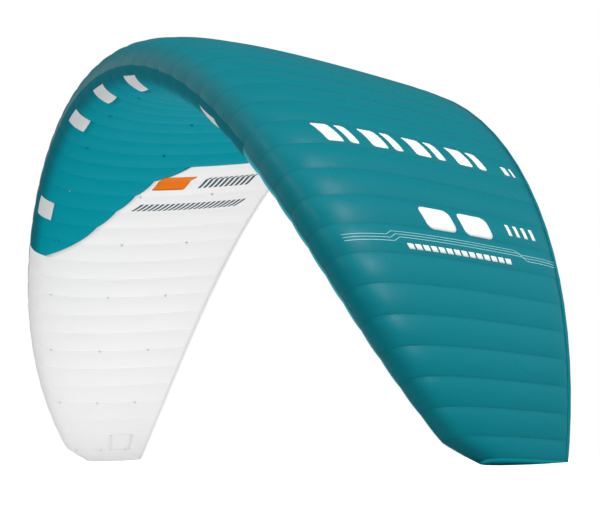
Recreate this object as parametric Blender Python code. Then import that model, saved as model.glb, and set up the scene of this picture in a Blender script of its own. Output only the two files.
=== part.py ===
# Ram-air kitesurf kite: a closed-cell foil canopy of 9 square metres flat area.
# Metres, +Z up, span along X, leading edge towards -Y, wing tips down.
import math

import bmesh
import bpy
from mathutils import Vector

# Plan: flat span, root chord and the leading edge's sweep
FLAT_SPAN = 7.16
ROOT_CHORD = 1.54
CHORD_TAPER = (0.435, 0.0175, 0.2445)   # on the 2nd, 4th and 6th power of the span share
SWEEP = (0.394, -0.0986, 0.3636)        # nose line's set-back at the tip, same powers
TIP_NOSE_CUT = 0.08                     # extra set-back of the tip rib's nose

# Arc: the turn of the wing from its middle to the tip, in radians
ARC_TURN = (1.2295, 0.1884, -0.1727)    # on the 1st, 3rd and 5th power of the span share
ARC_STEPS = 400

# Cells
HALF_RIBS = 24
WIDTH_TAPER = 0.4124                    # how much narrower the outer cells are
WIDTH_POWER = 2.284
TIP_CELL = 0.47                         # tip cell's width over the centre cell's
BAY_CELLS = 3                           # cells from one line-carrying rib to the next

# Section: x^power - x, scaled to the upper and lower height
NOSE_POWER = 0.449
UPPER_HEIGHT = 0.107                    # over the chord
LOWER_HEIGHT = 0.0891
CAMBER = -0.0082

# Cloth and seams
SKIN = 0.001
RIB = 0.001
CLEARANCE = 0.0004
SEAM_HALF = 0.0013                      # top and bottom skin stand apart by twice this
PANEL_GAP = 0.0003                      # half the gap at a seam between bottom panels

# Chord stations
TOP_ROWS = 11
INLET_START = 0.006
INLET_END = 0.058
FRONT_ROWS = 3
REAR_ROWS = 4
SEAM_RIB = 11                           # half-span rib where the white panel meets the nose
CENTRE_RIB = 5                          # half-span rib where the centre panel ends
CENTRE_SEAM = 0.55                      # chord share where the seam turns aft
SEAM_GROWTH = 0.13
SEAM_POWER = 0.65

# Inlets, counted in cells from the centre cell
INLET_CELLS = (-9, -3, 0, 3, 9)
SCREEN_MARGIN = 0.0008
FLAP_MARGIN = 0.005
FLAP_OVERLAP = 0.020                    # chord share that a valve flap laps past its inlet
FLAP_LEAD = 0.003
FLAP_DEPTH = 0.0012

# Crossports, diagonals, straps and bridle tabs
PORT_PLACES = (0.17, 0.44, 0.70)        # chord shares of the centres
PORT_HEIGHT = 0.52                      # over the section's height there
PORT_LENGTH = 0.075                     # half length over the chord
PORT_SIDES = 8
SMALL_RIB_CHORD = 0.80                  # shorter ribs keep only the middle port
BAND_PLACES = (0.305, 0.575)
BAND_WIDTH = 0.045
BAND_END_GAP = 0.004
BAND_LIFT = 0.014
TAB_PLACES = (0.10, 0.40, 0.72)
TAB_WIDTH = 0.010
TAB_DROP = 0.014
SLIT_CLEARANCE = 0.0007

# Tip dump flaps
DUMP_CELL = 1                           # cells in from the tip
DUMP_ROW = 7
DUMP_MARGIN = 0.0020

# Deflate zip at the trailing edge of the centre cell
ZIP_PLACE = 0.935
ZIP_LENGTH = 0.150
ZIP_TAPE_WIDTH = 0.026
ZIP_TAPE = 0.0010
COIL_WIDTH = 0.005
COIL_HEIGHT = 0.0022
SLIDER_LENGTH = 0.012
SLIDER_WALL = 0.0014
PULL_LENGTH = 0.018
ZIP_SLOT_LENGTH = 0.130
ZIP_SLOT_WIDTH = 0.006

TEAL = (0.008, 0.228, 0.290, 1.0)
LIGHT_TEAL = (0.004, 0.294, 0.352, 1.0)
WHITE = (0.82, 0.84, 0.85, 1.0)
MESH_GREY = (0.60, 0.64, 0.66, 1.0)
DARK = (0.02, 0.02, 0.022, 1.0)


def material(name, colour, roughness):
    mat = bpy.data.materials.new(name)
    mat.use_nodes = True
    shader = mat.node_tree.nodes["Principled BSDF"]
    shader.inputs["Base Color"].default_value = colour
    shader.inputs["Roughness"].default_value = roughness
    shader.inputs["Metallic"].default_value = 0.0
    return mat


def powers(values, base, first, step):
    return sum(v * base ** (first + step * k) for k, v in enumerate(values))


def rib_shares():
    """Half-span shares of the ribs, from the one beside the centre cell to the tip."""
    widths = [0.5]
    for k in range(1, HALF_RIBS):
        widths.append(1 - WIDTH_TAPER * (k / (HALF_RIBS - 1)) ** WIDTH_POWER)
    widths[-1] = TIP_CELL
    total = sum(widths)
    run = 0
    shares = []
    for width in widths:
        run += width
        shares.append(run / total)
    return shares


def arc_point(share):
    """Sideways and downward distance from the wing's middle to a half-span share."""
    x = z = 0
    step = share / ARC_STEPS
    for k in range(ARC_STEPS):
        turn = powers(ARC_TURN, (k + 0.5) * step, 1, 2)
        x += math.cos(turn) * step * FLAT_SPAN / 2
        z -= math.sin(turn) * step * FLAT_SPAN / 2
    return x, z


def fullness(x):
    peak_x = NOSE_POWER ** (1 / (1 - NOSE_POWER))
    return (x ** NOSE_POWER - x) / (peak_x ** NOSE_POWER - peak_x)


class Rib:
    """One rib's plane: where it is, how it leans, its chord and its outline."""

    def __init__(self, number, shares):
        self.number = number
        self.half = HALF_RIBS - 1 - number if number < HALF_RIBS else number - HALF_RIBS
        side = -1 if number < HALF_RIBS else 1
        share = shares[self.half]
        x, z = arc_point(share)
        turn = side * powers(ARC_TURN, share, 1, 2)
        self.centre = Vector((side * x, 0, z))
        self.along = Vector((math.cos(turn), 0, -math.sin(turn)))
        self.out = Vector((math.sin(turn), 0, math.cos(turn)))
        self.chord = ROOT_CHORD * (1 - powers(CHORD_TAPER, share, 2, 2))
        self.nose = powers(SWEEP, share, 2, 2) - ROOT_CHORD / 2
        if self.half == HALF_RIBS - 1:
            self.chord -= TIP_NOSE_CUT
            self.nose += TIP_NOSE_CUT

    def place(self, y, height, aside=0.0):
        return self.centre + Vector((0, y, 0)) + self.out * height + self.along * aside

    def height(self, x, upper):
        scale = UPPER_HEIGHT if upper else -LOWER_HEIGHT
        return self.chord * (scale * fullness(x) + CAMBER * 4 * x * (1 - x))

    def section(self, x, upper):
        return self.nose + x * self.chord, self.height(x, upper)

    def seam_share(self):
        """Chord share of the seam between the centre panel and the white panel."""
        if self.half <= CENTRE_RIB:
            return CENTRE_SEAM
        steps = max(0, SEAM_RIB - self.half)
        return INLET_END + (SEAM_GROWTH * steps ** SEAM_POWER if steps else 0)

    def bottom_shares(self):
        seam = self.seam_share()
        shares = [0, INLET_START, INLET_END]
        shares += [INLET_END + (seam - INLET_END) * k / FRONT_ROWS for k in range(1, FRONT_ROWS + 1)]
        shares += [seam + (1 - seam) * k / REAR_ROWS for k in range(1, REAR_ROWS + 1)]
        return shares

    def facet(self, x):
        """Point of the faceted lower line at a chord share, which may lie between stations."""
        shares = self.bottom_shares()
        for low, high in zip(shares, shares[1:]):
            if low <= x <= high and high > low:
                part = (x - low) / (high - low)
                y0, h0 = self.section(low, False)
                y1, h1 = self.section(high, False)
                return y0 + (y1 - y0) * part, h0 + (h1 - h0) * part
        return self.section(x, False)


TOP_SHARES = [(k / TOP_ROWS) ** 2 for k in range(TOP_ROWS + 1)]
SHARES = rib_shares()
RIBS = [Rib(number, SHARES) for number in range(2 * HALF_RIBS)]
CENTRE_CELL = HALF_RIBS - 1
LIFT = 0.0


def inset(points, depth, closed):
    """Points of an outline moved to its left by depth, with mitred corners."""
    moved = []
    count = len(points)
    for k, (y, h) in enumerate(points):
        before = points[k - 1] if closed or k else None
        after = points[(k + 1) % count] if closed or k < count - 1 else None
        normals = []
        if before:
            normals.append(Vector((before[1] - h, y - before[0])).normalized())
        if after:
            normals.append(Vector((h - after[1], after[0] - y)).normalized())
        mean = sum(normals, Vector((0, 0))).normalized()
        reach = depth / mean.dot(normals[0])
        moved.append((y + mean.x * reach, h + mean.y * reach))
    return moved


def distinct(points):
    kept = [points[0]]
    for point in points[1:]:
        if math.dist(point, kept[-1]) > 1e-6:
            kept.append(point)
    return kept


def add_object(name, bm, mat, origin=Vector()):
    bmesh.ops.translate(bm, verts=bm.verts, vec=Vector((0, 0, LIFT)) - origin)
    mesh = bpy.data.meshes.new(name)
    bm.to_mesh(mesh)
    bm.free()
    mesh.materials.append(mat)
    obj = bpy.data.objects.new(name, mesh)
    obj.location = origin
    bpy.context.scene.collection.objects.link(obj)
    return obj


def thicken(obj, thickness):
    solid = obj.modifiers.new("thickness", "SOLIDIFY")
    solid.thickness = thickness
    solid.offset = -1
    solid.use_even_offset = True
    return solid


def hide_cutter(obj):
    obj.hide_render = True
    obj.display_type = "WIRE"


def boolean(obj, tool, operation):
    mod = obj.modifiers.new(operation.lower(), "BOOLEAN")
    mod.operation = operation
    mod.solver = "EXACT"
    mod.object = tool


def split_quads(bm):
    """Each twisted quad gets one diagonal, so a sheet's two faces stay a wall apart."""
    bmesh.ops.triangulate(bm, faces=bm.faces, quad_method="SHORT_EDGE")
    bm.normal_update()
    return bm


def skin_sheet(columns, point):
    """Open sheet of quads: columns holds (rib, rows); point gives a corner's place."""
    bm = bmesh.new()
    corners = {}
    for column, rows in columns:
        for row in rows:
            quad = []
            for rib, station in ((column, row), (column, row + 1), (column + 1, row + 1), (column + 1, row)):
                key = (rib, station)
                if key not in corners:
                    corners[key] = bm.verts.new(point(rib, station))
                quad.append(corners[key])
            bm.faces.new(quad)
    bmesh.ops.remove_doubles(bm, verts=bm.verts, dist=1e-6)
    return split_quads(bm)


def top_skin(mat):
    def point(rib, station):
        y, height = RIBS[rib].section(TOP_SHARES[station], True)
        return RIBS[rib].place(y, height + SEAM_HALF)

    columns = [(c, range(TOP_ROWS)) for c in range(len(RIBS) - 1)]
    bm = skin_sheet(columns, point)
    bmesh.ops.reverse_faces(bm, faces=bm.faces)
    thicken(add_object("top_skin", bm, mat), SKIN)


def bottom_skins(centre_mat, side_mat, slits, zip_slot):
    """Centre panel with its two forward wedges, and the white panel on each side."""
    seam_row = 2 + FRONT_ROWS
    last_row = seam_row + REAR_ROWS
    inlets = [CENTRE_CELL + cell for cell in INLET_CELLS]
    dumps = (DUMP_CELL, len(RIBS) - 2 - DUMP_CELL)

    def corner(rib_number, station, inward):
        """inward is +1 for the centre panel and -1 for a side panel."""
        rib = RIBS[rib_number]
        x = rib.bottom_shares()[station]
        y, height = rib.section(x, False)
        side = 1 if rib_number >= HALF_RIBS else -1
        aside = 0.0
        if CENTRE_RIB <= rib.half <= SEAM_RIB and station == seam_row:
            y -= inward * PANEL_GAP
        if rib.half == SEAM_RIB and station <= seam_row:
            aside = -side * inward * PANEL_GAP
            if station >= 2:
                y = rib.section(INLET_END, False)[0] - inward * PANEL_GAP
        if rib.half == CENTRE_RIB and station >= seam_row:
            aside = -side * inward * PANEL_GAP
        return rib.place(y, height - SEAM_HALF, aside)

    def half_pair(column):
        return RIBS[column].half, RIBS[column + 1].half

    centre = []
    sides = {"left": [], "right": []}
    for column in range(len(RIBS) - 1):
        outer = max(half_pair(column))
        front = [r for r in range(seam_row) if not (r == 1 and column in inlets)]
        rear = list(range(seam_row, last_row))
        if outer <= CENTRE_RIB:
            centre.append((column, front + rear))
        elif outer <= SEAM_RIB:
            centre.append((column, front))
        side = "left" if column < CENTRE_CELL else "right"
        if outer > SEAM_RIB:
            rows = [0, 1] + rear
            if column in dumps:
                rows.remove(DUMP_ROW)
            sides[side].append((column, rows))
        elif outer > CENTRE_RIB:
            sides[side].append((column, rear))

    panels = [("bottom_skin_centre", centre, 1, centre_mat)]
    panels += [("bottom_skin_" + side, cells, -1, side_mat) for side, cells in sides.items()]
    for name, cells, inward, mat in panels:
        bm = skin_sheet(cells, lambda rib, station: corner(rib, station, inward))
        panel = add_object(name, bm, mat)
        thicken(panel, SKIN)
        boolean(panel, slits, "DIFFERENCE")
        if inward > 0:
            boolean(panel, zip_slot, "DIFFERENCE")


def box_body(bm, corners):
    """Closed box from eight corners: four of one end, then four of the other."""
    verts = [bm.verts.new(c) for c in corners]
    for face in ((3, 2, 1, 0), (4, 5, 6, 7), (0, 1, 5, 4), (1, 2, 6, 5), (2, 3, 7, 6), (3, 0, 4, 7)):
        bm.faces.new([verts[k] for k in face])


def rib_step_in(rib):
    """How far a rib's edge stays inside the skin's outer face, where the skin leans."""
    lean = 0.0
    for other in (rib.number - 1, rib.number + 1):
        if 0 <= other < len(RIBS):
            gap = (RIBS[other].centre - rib.centre).length
            lean = max(lean, abs(RIBS[other].nose - rib.nose) / gap)
    return CLEARANCE + SKIN * math.sqrt(1 + lean * lean) + RIB / 2 * lean + 0.0002


def rib_outline(rib, step_in):
    """Closed outline, nose to tail along the top and back along the bottom."""
    top = [rib.section(x, True) for x in TOP_SHARES]
    bottom = [rib.section(x, False) for x in reversed(rib.bottom_shares())]
    points = distinct(top + bottom[1:-1])
    points.reverse()
    return inset(points, step_in, True) if step_in else points


def with_tabs(rib, outline):
    """Outline with a bridle tab at each place, drawn down through the lower skin."""
    result = []
    tabs = []
    for place in TAB_PLACES:
        y, height = rib.facet(place)
        tabs.append((y - TAB_WIDTH / 2, y + TAB_WIDTH / 2, height - SEAM_HALF - TAB_DROP))
    count = len(outline)
    for k in range(count):
        here, there = outline[k], outline[(k + 1) % count]
        result.append(here)
        if there[0] <= here[0]:
            continue
        for low, high, foot in tabs:
            for edge in (low, high):
                if here[0] < edge <= there[0]:
                    part = (edge - here[0]) / (there[0] - here[0])
                    root = (edge, here[1] + (there[1] - here[1]) * part)
                    if root[1] < rib.height(0.5, True):
                        result += [root, (edge, foot)] if edge == low else [(edge, foot), root]
    return result


def port_loops(rib):
    loops = []
    for place in PORT_PLACES:
        if rib.chord < SMALL_RIB_CHORD and place != PORT_PLACES[1]:
            continue
        y = rib.nose + place * rib.chord
        top, bottom = rib.height(place, True), rib.height(place, False)
        half_length = PORT_LENGTH * rib.chord
        half_height = (top - bottom) * PORT_HEIGHT / 2
        loop = []
        for k in range(PORT_SIDES):
            turn = 2 * math.pi * (k + 0.5) / PORT_SIDES
            loop.append((y + half_length * math.cos(turn), (top + bottom) / 2 + half_height * math.sin(turn)))
        loops.append(loop)
    return loops


def plate(bm, rib, loops, aside, thickness):
    """Flat closed plate across the span, from its outline and its holes."""
    edges = []
    for loop in loops:
        verts = [bm.verts.new(rib.place(y, h, aside)) for y, h in loop]
        edges += [bm.edges.new((verts[k - 1], verts[k])) for k in range(len(verts))]
    filled = bmesh.ops.triangle_fill(bm, use_beauty=True, use_dissolve=False, edges=edges)
    faces = [g for g in filled["geom"] if isinstance(g, bmesh.types.BMFace)]
    grown = bmesh.ops.extrude_face_region(bm, geom=faces)
    moved = [g for g in grown["geom"] if isinstance(g, bmesh.types.BMVert)]
    bmesh.ops.translate(bm, verts=moved, vec=rib.along * thickness)


def closed(bm):
    bmesh.ops.recalc_face_normals(bm, faces=bm.faces)
    return bm


def band(bm, start_rib, end_rib, place, start_height, end_height, start_in, end_in):
    """Flat band of cloth across a cell, from one rib's side to the next one's."""
    corners = []
    for rib, height, aside in ((start_rib, start_height, start_in), (end_rib, end_height, end_in)):
        y = rib.nose + place * rib.chord
        for dy, dh in ((-0.5, -0.5), (0.5, -0.5), (0.5, 0.5), (-0.5, 0.5)):
            corners.append(rib.place(y + dy * BAND_WIDTH, height + dh * RIB, aside))
    box_body(bm, corners)


def loaded_rib(rib, mat):
    """Line-carrying rib with its bridle tabs and the V of diagonal bands beside it."""
    bm = bmesh.new()
    outline = with_tabs(rib, rib_outline(rib, rib_step_in(rib)))
    plate(bm, rib, [outline] + port_loops(rib), -RIB / 2, RIB)
    obj = add_object("loaded_rib_%02d" % rib.number, closed(bm), mat)
    bands = bmesh.new()
    for step in (-1, 1):
        other = RIBS[rib.number + step]
        if other.number in (0, len(RIBS) - 1):
            continue
        for place in BAND_PLACES:
            low = rib.height(place, False) + BAND_LIFT
            high = other.height(place, True) - BAND_LIFT
            band(bands, rib, other, place, low, high, 0, -step * BAND_END_GAP)
    if not bands.verts:
        bands.free()
        return
    tool = add_object("bands_%02d" % rib.number, closed(bands), mat)
    hide_cutter(tool)
    boolean(obj, tool, "UNION")


def rib_pair(first, mat):
    """Two unloaded ribs of one bay, held together by their tension straps."""
    pair = (RIBS[first], RIBS[first + 1])
    bm = bmesh.new()
    for rib in pair:
        plate(bm, rib, [rib_outline(rib, rib_step_in(rib))] + port_loops(rib), -RIB / 2, RIB)
    obj = add_object("rib_pair_%02d" % first, closed(bm), mat)
    straps = bmesh.new()
    for place in BAND_PLACES:
        heights = [(r.height(place, True) + r.height(place, False)) / 2 for r in pair]
        band(straps, pair[0], pair[1], place, heights[0], heights[1], 0, 0)
    tool = add_object("straps_%02d" % first, closed(straps), mat)
    hide_cutter(tool)
    boolean(obj, tool, "UNION")


def tip_rib(rib, side, mat):
    """Flat closing panel just outside the skins' ends."""
    bm = bmesh.new()
    lean = PANEL_GAP * 2 if side > 0 else -PANEL_GAP * 2 - RIB
    plate(bm, rib, [rib_outline(rib, 0)], lean, RIB)
    add_object("tip_rib_" + ("right" if side > 0 else "left"), closed(bm), mat)


def strip(column, shares, depth, margin):
    """Open strip along the lower skin of one cell, a depth inside it, clear of both ribs."""
    first, second = RIBS[column], RIBS[column + 1]
    width = (second.centre - first.centre).length
    lines = []
    for rib in (first, second):
        points = [rib.facet(x) for x in shares]
        points = inset([(y, h - SEAM_HALF) for y, h in points], depth, False)
        lines.append([rib.place(y, h) for y, h in points])
    part = margin / width
    bm = bmesh.new()
    rows = []
    for a, b in zip(*lines):
        rows.append((bm.verts.new(a.lerp(b, part)), bm.verts.new(b.lerp(a, part))))
    for (a, b), (c, d) in zip(rows, rows[1:]):
        bm.faces.new((a, c, d, b))
    front = (rows[0][0].co + rows[0][1].co) / 2
    return split_quads(bm), front


def end_margin(column, share):
    return share / min(RIBS[column].chord, RIBS[column + 1].chord)


def inlet(column, name, screen_mat, flap_mat):
    """Mesh screen in the inlet, and the valve flap hinged ahead of it inside the cell."""
    edge = end_margin(column, SCREEN_MARGIN)
    bm, _ = strip(column, (INLET_START + edge, INLET_END - edge), 0, SCREEN_MARGIN)
    thicken(add_object("inlet_screen_" + name, bm, screen_mat), SKIN)
    shares = (FLAP_LEAD, INLET_START, INLET_END, INLET_END + FLAP_OVERLAP)
    bm, hinge = strip(column, shares, SKIN + FLAP_DEPTH, FLAP_MARGIN)
    hinge = hinge + Vector((0, 0, LIFT))
    thicken(add_object("valve_flap_" + name, bm, flap_mat, hinge), SKIN)


def dump_flap(column, side, mat):
    """Cloth flap over the tip's sand outlet, hinged along its front edge."""
    shares = RIBS[column].bottom_shares()
    edge = end_margin(column, DUMP_MARGIN)
    bm, hinge = strip(column, (shares[DUMP_ROW] + edge, shares[DUMP_ROW + 1] - edge), 0, DUMP_MARGIN)
    hinge = hinge + Vector((0, 0, LIFT))
    thicken(add_object("dump_flap_" + side, bm, mat, hinge), SKIN)


def slit_cutter(mat):
    """Boxes that let the bridle tabs through the lower skins."""
    bm = bmesh.new()
    half_width = RIB / 2 + SLIT_CLEARANCE
    half_length = TAB_WIDTH / 2 + SLIT_CLEARANCE
    for rib in RIBS:
        if rib.number % BAY_CELLS != 1:
            continue
        for place in TAB_PLACES:
            y, height = rib.facet(place)
            corners = []
            for dh in (-0.006, 0.006):
                for dy, ds in ((-1, -1), (1, -1), (1, 1), (-1, 1)):
                    corners.append(rib.place(y + dy * half_length, height + dh, ds * half_width))
            box_body(bm, corners)
    tool = add_object("slit_cutter", closed(bm), mat)
    hide_cutter(tool)
    return tool


def zip_frame():
    """Middle of the zip on the lower skin, its chordwise direction and outward normal."""
    rib = RIBS[HALF_RIBS]
    y0, h0 = rib.facet(ZIP_PLACE)
    y1, h1 = rib.section(1, False)
    aft = Vector((0, y1 - y0, h1 - h0)).normalized()
    down = Vector((0, aft.z, -aft.y))
    near = RIBS[HALF_RIBS].place(y0, h0 - SEAM_HALF)
    far = RIBS[HALF_RIBS - 1].place(y0, h0 - SEAM_HALF)
    return (near + far) / 2, aft, down


def bar(bm, profile, x0, x1, origin, aft, down):
    """Closed prism along X from a profile of (aft, down) points."""
    ends = []
    for x in (x0, x1):
        ends.append([bm.verts.new(origin + Vector((x, 0, 0)) + aft * a + down * d) for a, d in profile])
    count = len(profile)
    bm.faces.new(ends[0])
    bm.faces.new(list(reversed(ends[1])))
    for k in range(count):
        bm.faces.new((ends[0][k], ends[0][k - 1], ends[1][k - 1], ends[1][k]))


def deflate_zip(tape_mat, slider_mat):
    """Zip tape with its coil under the lower skin, and the slider on the coil."""
    origin, aft, down = zip_frame()
    top = CLEARANCE
    face = top + ZIP_TAPE
    ridge = face + COIL_HEIGHT
    half = ZIP_TAPE_WIDTH / 2
    coil = COIL_WIDTH / 2
    bm = bmesh.new()
    tape = ((-half, top), (half, top), (half, face), (coil, face), (coil, ridge),
            (-coil, ridge), (-coil, face), (-half, face))
    bar(bm, tape, -ZIP_LENGTH / 2, ZIP_LENGTH / 2, origin, aft, down)
    add_object("zip_tape", closed(bm), tape_mat)

    clear = CLEARANCE
    foot = face + clear
    inner, outer = coil + clear, coil + clear + SLIDER_WALL
    roof, back = ridge + clear, ridge + clear + SLIDER_WALL
    saddle = ((-outer, foot), (-inner, foot), (-inner, roof), (inner, roof), (inner, foot),
              (outer, foot), (outer, back), (-outer, back))
    start = -ZIP_LENGTH / 2
    bm = bmesh.new()
    bar(bm, saddle, start, start + SLIDER_LENGTH, origin, aft, down)
    body = add_object("zip_slider", closed(bm), slider_mat, origin + Vector((start, 0, LIFT)))
    pull = bmesh.new()
    thin = SLIDER_WALL / 2
    grip = ((-inner, back - thin), (inner, back - thin), (inner, back + thin), (-inner, back + thin))
    reach = SLIDER_LENGTH - SLIDER_WALL
    bar(pull, grip, start + reach - PULL_LENGTH / 2, start + reach + PULL_LENGTH / 2, origin, aft, down)
    tool = add_object("pull_shape", closed(pull), slider_mat)
    hide_cutter(tool)
    boolean(body, tool, "UNION")


def zip_slot_cutter(mat):
    origin, aft, down = zip_frame()
    half = ZIP_SLOT_WIDTH / 2
    depth = 4 * SKIN
    bm = bmesh.new()
    slot = ((-half, -depth), (half, -depth), (half, depth), (-half, depth))
    bar(bm, slot, -ZIP_SLOT_LENGTH / 2, ZIP_SLOT_LENGTH / 2, origin, aft, down)
    tool = add_object("zip_slot_cutter", closed(bm), mat)
    hide_cutter(tool)
    return tool


def build():
    global LIFT
    for obj in list(bpy.data.objects):
        bpy.data.objects.remove(obj)
    tip = RIBS[0]
    LIFT = -min(tip.place(y, h, -PANEL_GAP * 2 - RIB).z for y, h in rib_outline(tip, 0))

    teal = material("ripstop_teal", TEAL, 0.45)
    light_teal = material("ripstop_light_teal", LIGHT_TEAL, 0.45)
    white = material("ripstop_white", WHITE, 0.5)
    rib_cloth = material("rib_cloth", WHITE, 0.6)
    net = material("inlet_net", MESH_GREY, 0.7)
    dark = material("zip_plastic", DARK, 0.4)

    top_skin(teal)
    bottom_skins(light_teal, white, slit_cutter(dark), zip_slot_cutter(dark))
    tip_rib(RIBS[0], -1, teal)
    tip_rib(RIBS[-1], 1, teal)
    for rib in RIBS[1:-1]:
        if rib.number % BAY_CELLS == 1:
            loaded_rib(rib, rib_cloth)
        elif rib.number % BAY_CELLS == 2:
            rib_pair(rib.number, rib_cloth)
    for cell in INLET_CELLS:
        column = CENTRE_CELL + cell
        inlet(column, "%02d" % column, net, white)
    dump_flap(DUMP_CELL, "left", white)
    dump_flap(len(RIBS) - 2 - DUMP_CELL, "right", white)
    deflate_zip(dark, dark)


build()
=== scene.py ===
import math
import bmesh
import bpy
import numpy as np
from mathutils import Matrix, Vector


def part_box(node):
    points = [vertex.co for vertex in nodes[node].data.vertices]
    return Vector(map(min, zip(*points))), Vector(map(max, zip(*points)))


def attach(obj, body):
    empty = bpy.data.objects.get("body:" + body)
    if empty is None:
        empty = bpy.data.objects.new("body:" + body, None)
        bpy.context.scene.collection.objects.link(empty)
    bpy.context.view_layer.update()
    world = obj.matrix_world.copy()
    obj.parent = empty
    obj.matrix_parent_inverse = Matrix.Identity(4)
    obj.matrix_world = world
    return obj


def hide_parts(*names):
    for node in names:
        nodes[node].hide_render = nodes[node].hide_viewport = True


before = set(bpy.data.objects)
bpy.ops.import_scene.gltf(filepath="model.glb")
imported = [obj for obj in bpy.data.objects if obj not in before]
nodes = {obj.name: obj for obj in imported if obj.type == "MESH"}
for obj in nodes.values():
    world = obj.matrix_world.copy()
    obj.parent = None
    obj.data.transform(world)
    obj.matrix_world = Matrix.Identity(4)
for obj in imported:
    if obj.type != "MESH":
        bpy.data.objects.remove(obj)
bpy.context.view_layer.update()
scene = bpy.context.scene
print("frame loaded,", len(nodes), "nodes")


# Camera, floor and light
camera = {
    "place": (8.2375, -3.135, 0.0359),
    "tilt": math.pi / 2 + 0.1207,
    "heading": 1.167,
    "lens": 99.96,
    "sensor": 36,
    "clip": (0.05, 200),
}
lensData = bpy.data.cameras.new("camera")
lensData.lens = camera["lens"]
lensData.sensor_width = camera["sensor"]
lensData.clip_start, lensData.clip_end = camera["clip"]
cameraObject = bpy.data.objects.new("camera", lensData)
cameraObject.location = camera["place"]
cameraObject.rotation_euler = (camera["tilt"], 0, camera["heading"])
scene.collection.objects.link(cameraObject)
scene.camera = cameraObject
scene.view_settings.view_transform = "Standard"


def linearColour(text):  # sRGB hex to linear
    values = [int(text[k:k + 2], 16) / 255 for k in (1, 3, 5)]
    linear = [v / 12.92 if v <= 0.04045 else ((v + 0.055) / 1.055) ** 2.4 for v in values]
    return (*linear, 1.0)


def addNode(tree, kind, settings=None, links=None):  # settings: properties, or sockets by name or number
    node = tree.nodes.new(kind)
    for key, value in (settings or {}).items():
        if isinstance(key, str) and key in node.bl_rna.properties:
            setattr(node, key, value)
        else:
            node.inputs[key].default_value = value
    for key, source in (links or {}).items():
        tree.links.new(source, node.inputs[key])
    return node


studio = {
    "floorSize": 60,
    "floorColour": "#BEBEBE",
    "floorRoughness": 0.9,
    "floorGlow": (0.90, 0.0),            # a light box under the wing, and none on the rest of the floor
    "glowCentre": (-0.5, 0.35, 0.0),
    "glowReach": (1.3, 3.0),             # how far out it starts to fade, and where it is gone
    "glowSeen": 0.95,                    # to the camera the whole floor is as pale as the backdrop
    "backColour": "#FFFFFF",
    "skyColour": "#FAFCFD",
    "skyLevel": 0.88,
    "darkSides": (  # direction, cosines to it where the sky starts to dim and is dimmest, share left there
        ((0.00, -0.88, -0.48), 0.50, 0.90, 0.10),
        ((-0.71, 0.36, 0.60), 0.62, 0.92, 0.12),
        ((0.91, 0.20, -0.36), 0.66, 0.94, 0.45),
    ),
    "ceiling": (0.05, 0.70, 1.25),       # heights where the sky starts and ends its change, its share there
    "lamps": (  # name, the two ends of the strip, what it faces, its width and power
        ("sideStrip", (3.8, 1.0, 8.2), (7.6, 0.8, 6.4), (2.5, -0.2, 0.6), 0.9, 300),
        ("frontStrip", (-0.6, -6.6, 7.4), (5.4, -7.4, 7.4), (1.4, -0.6, 1.6), 0.7, 110),
    ),
}


def makeFloor():
    bm = bmesh.new()
    bmesh.ops.create_grid(bm, x_segments=2, y_segments=2, size=studio["floorSize"] / 2)
    mesh = bpy.data.meshes.new("floor")
    bm.to_mesh(mesh)
    bm.free()
    floor = bpy.data.objects.new("floor", mesh)
    scene.collection.objects.link(floor)
    paint = bpy.data.materials.new("paleFloor")
    paint.use_nodes = True
    tree = paint.node_tree
    shader = tree.nodes["Principled BSDF"]
    shader.inputs["Base Color"].default_value = linearColour(studio["floorColour"])
    shader.inputs["Roughness"].default_value = studio["floorRoughness"]
    shader.inputs["Specular IOR Level"].default_value = 0.0
    shader.inputs["Emission Color"].default_value = linearColour(studio["backColour"])
    place = addNode(tree, "ShaderNodeNewGeometry")
    away = addNode(tree, "ShaderNodeVectorMath", {"operation": "DISTANCE", 1: studio["glowCentre"]},
                   {0: place.outputs["Position"]})
    (near, far), (inner, outer) = studio["glowReach"], studio["floorGlow"]
    spread = addNode(tree, "ShaderNodeMapRange",
                     {"interpolation_type": "SMOOTHSTEP", "From Min": near, "From Max": far,
                      "To Min": inner, "To Max": outer}, {"Value": away.outputs["Value"]})
    seen = addNode(tree, "ShaderNodeLightPath")
    glow = addNode(tree, "ShaderNodeMapRange", {"To Max": studio["glowSeen"]},
                   {"Value": seen.outputs["Is Camera Ray"], "To Min": spread.outputs[0]})
    tree.links.new(glow.outputs[0], shader.inputs["Emission Strength"])
    mesh.materials.append(paint)


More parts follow.
